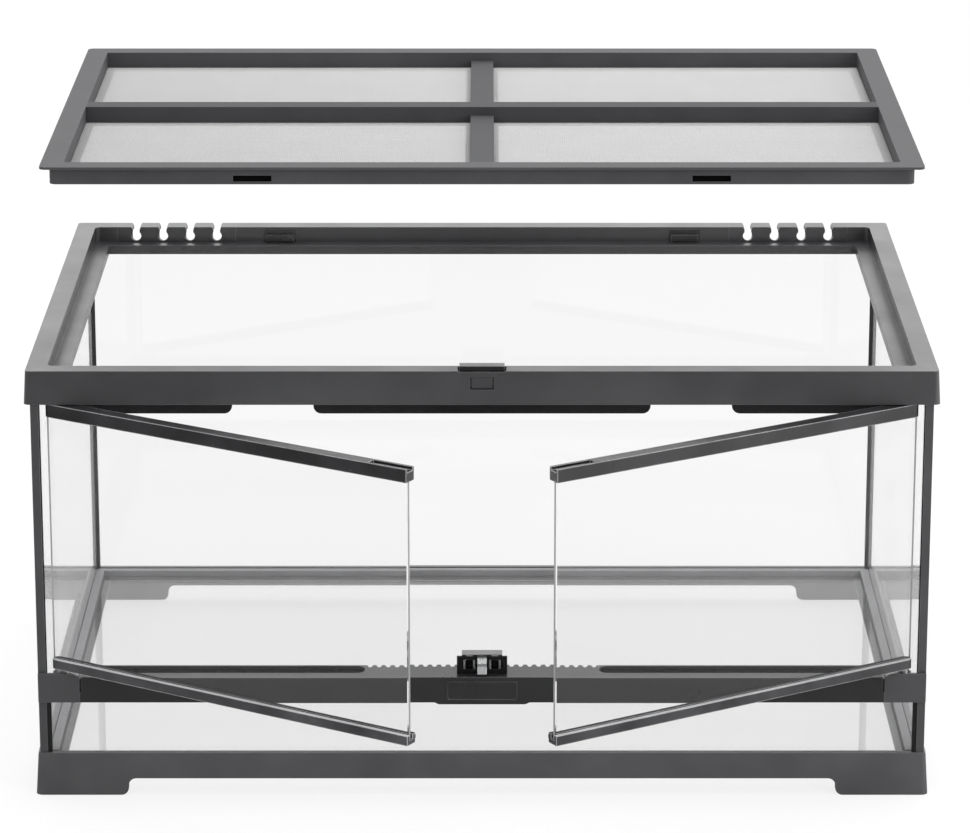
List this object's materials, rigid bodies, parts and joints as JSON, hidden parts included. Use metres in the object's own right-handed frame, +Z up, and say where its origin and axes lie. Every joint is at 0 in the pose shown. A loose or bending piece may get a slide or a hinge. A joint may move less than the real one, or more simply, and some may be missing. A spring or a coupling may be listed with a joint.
{
  "type": "terrarium cabinet",
  "caption": "Low glass terrarium with a black rim and base, double swing doors over a front window and vent, and a lift-off screen lid held above it.",
  "frame": {"origin": "on the floor in the middle of the footprint", "axes": "+X to the viewer's right, +Y to the back, +Z up; the doors face -Y"},
  "size_m": [0.91, 0.8299, 0.6508],
  "materials": {
    "black_plastic": "satin moulded",
    "dark_plastic": "matt moulded",
    "grey_plastic": "satin moulded",
    "clear_glass": "polished float glass",
    "black_silicone": "smoothed bead",
    "bright_steel": "bright nickel plated",
    "steel_screen": "fine woven wire"
  },
  "bodies": {
    "cabinet": {"base_frame": "black_plastic", "floor_glass": "clear_glass", "back_glass": "clear_glass", "left_glass": "clear_glass", "right_glass": "clear_glass", "window_glass": "clear_glass", "left_post": "black_plastic", "right_post": "black_plastic", "left_rear_seal": "black_silicone", "right_rear_seal": "black_silicone", "window_seals": "black_silicone", "top_frame": "black_plastic", "left_cable_port": "black_plastic", "right_cable_port": "black_plastic", "left_lid_hook": "dark_plastic", "right_lid_hook": "dark_plastic", "door_stops": "dark_plastic", "mid_rail": "black_plastic", "left_vent_screen": "dark_plastic", "right_vent_screen": "dark_plastic", "left_hinge_block": "black_plastic", "right_hinge_block": "black_plastic", "badge_plate": "black_plastic", "lower_hinge_pins": "bright_steel", "upper_hinge_pins": "bright_steel", "catch_body": "dark_plastic", "catch_cover": "grey_plastic", "catch_clips": "bright_steel"},
    "left_door": {"left_door_glass": "clear_glass", "left_door_top_rail": "black_plastic", "left_door_bottom_rail": "black_plastic", "left_door_strike": "dark_plastic"},
    "right_door": {"right_door_glass": "clear_glass", "right_door_top_rail": "black_plastic", "right_door_bottom_rail": "black_plastic", "right_door_strike": "dark_plastic"},
    "lid_latch": {"lid_latch": "black_plastic"},
    "catch_tongue": {"catch_tongue": "bright_steel"},
    "lid": {"lid_frame": "black_plastic", "lid_cross_bar": "black_plastic", "lid_centre_bars": "black_plastic", "lid_screen_front_left": "steel_screen", "lid_screen_front_right": "steel_screen", "lid_screen_rear_left": "steel_screen", "lid_screen_rear_right": "steel_screen"}
  },
  "joints": [
    {"name": "left_door_hinge", "type": "hinge", "parent": "cabinet", "child": "left_door", "pos_m": [-0.427, -0.297, 0.274], "axis": [0, 0, 1], "range_deg": [-88.5, 31.5]},
    {"name": "right_door_hinge", "type": "hinge", "parent": "cabinet", "child": "right_door", "pos_m": [0.427, -0.297, 0.274], "axis": [0, 0, 1], "range_deg": [-31.5, 88.5]},
    {"name": "lid_lift", "type": "slide", "parent": "cabinet", "child": "lid", "axis": [0, 0, 1], "range_m": [-0.2, 0]},
    {"name": "latch_rock", "type": "hinge", "parent": "cabinet", "child": "lid_latch", "pos_m": [0, -0.3, 0.4425], "axis": [1, 0, 0], "range_deg": [0, 6], "stiffness_Nm_per_rad": 0.5},
    {"name": "tongue_press", "type": "hinge", "parent": "cabinet", "child": "catch_tongue", "pos_m": [0, -0.2825, 0.1421], "axis": [1, 0, 0], "range_deg": [0, 3], "stiffness_Nm_per_rad": 0.5}
  ]
}
